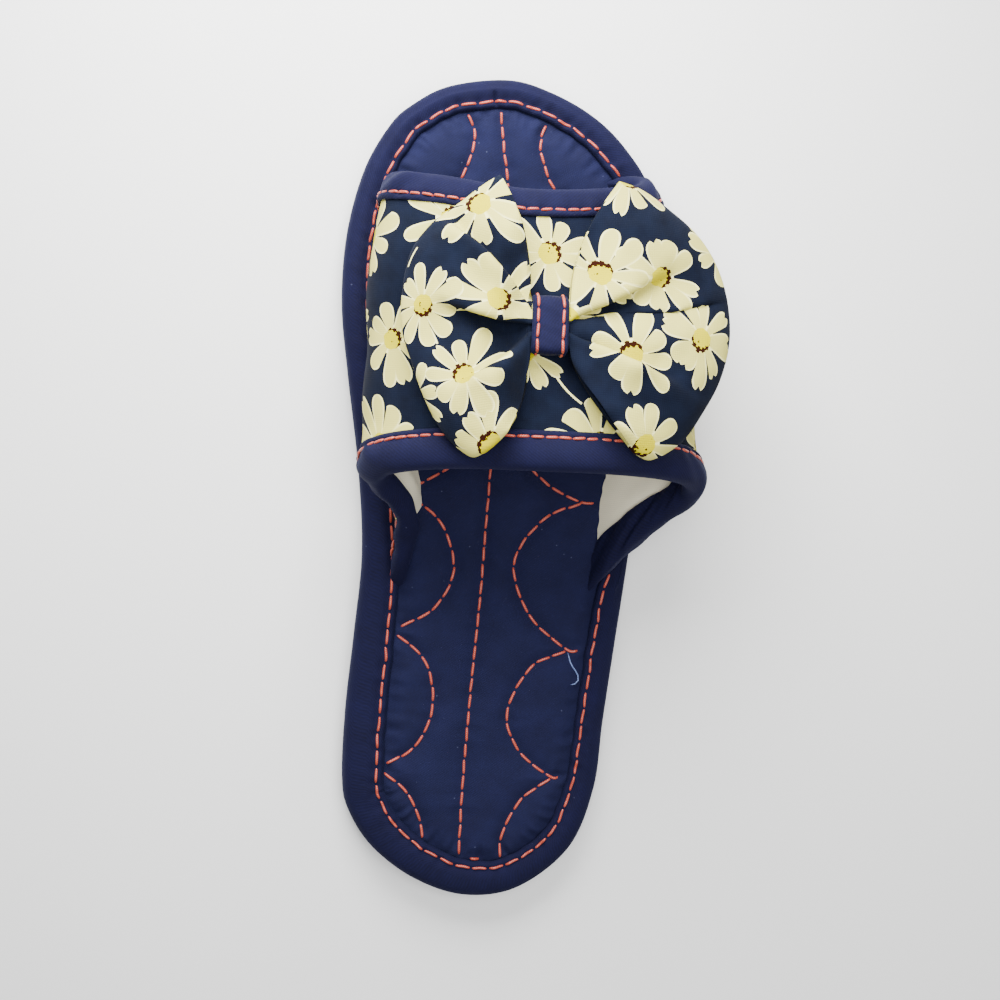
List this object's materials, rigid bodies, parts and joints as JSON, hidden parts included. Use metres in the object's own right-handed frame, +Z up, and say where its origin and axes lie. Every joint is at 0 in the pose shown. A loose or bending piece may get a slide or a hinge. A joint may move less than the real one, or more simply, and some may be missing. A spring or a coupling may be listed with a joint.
{
  "type": "open-toe fabric slipper",
  "caption": "Open-toe cloth house slipper for the right foot: bound quilted footbed, hollow printed vamp band with bound edges, and a looped ribbon bow held by a strap.",
  "frame": {"origin": "on the floor under the waist of the sole, midway between toe and heel, on the line from heel to ball", "axes": "+Y to the toe, +X to the little-toe side, +Z up"},
  "size_m": [0.1106, 0.2491, 0.0717],
  "materials": {
    "outsole": "matte",
    "insole": "quilted twill",
    "sole_binding": "twill tape",
    "upper": "printed cotton",
    "toe_binding": "twill tape",
    "collar_binding": "twill tape",
    "bow": "printed cotton",
    "bow_knot": "twill tape"
  },
  "bodies": {
    "root": {"outsole": "outsole", "insole": "insole", "sole_binding": "sole_binding", "upper": "upper", "toe_binding": "toe_binding", "collar_binding": "collar_binding", "bow": "bow", "bow_knot": "bow_knot"}
  },
  "joints": []
}
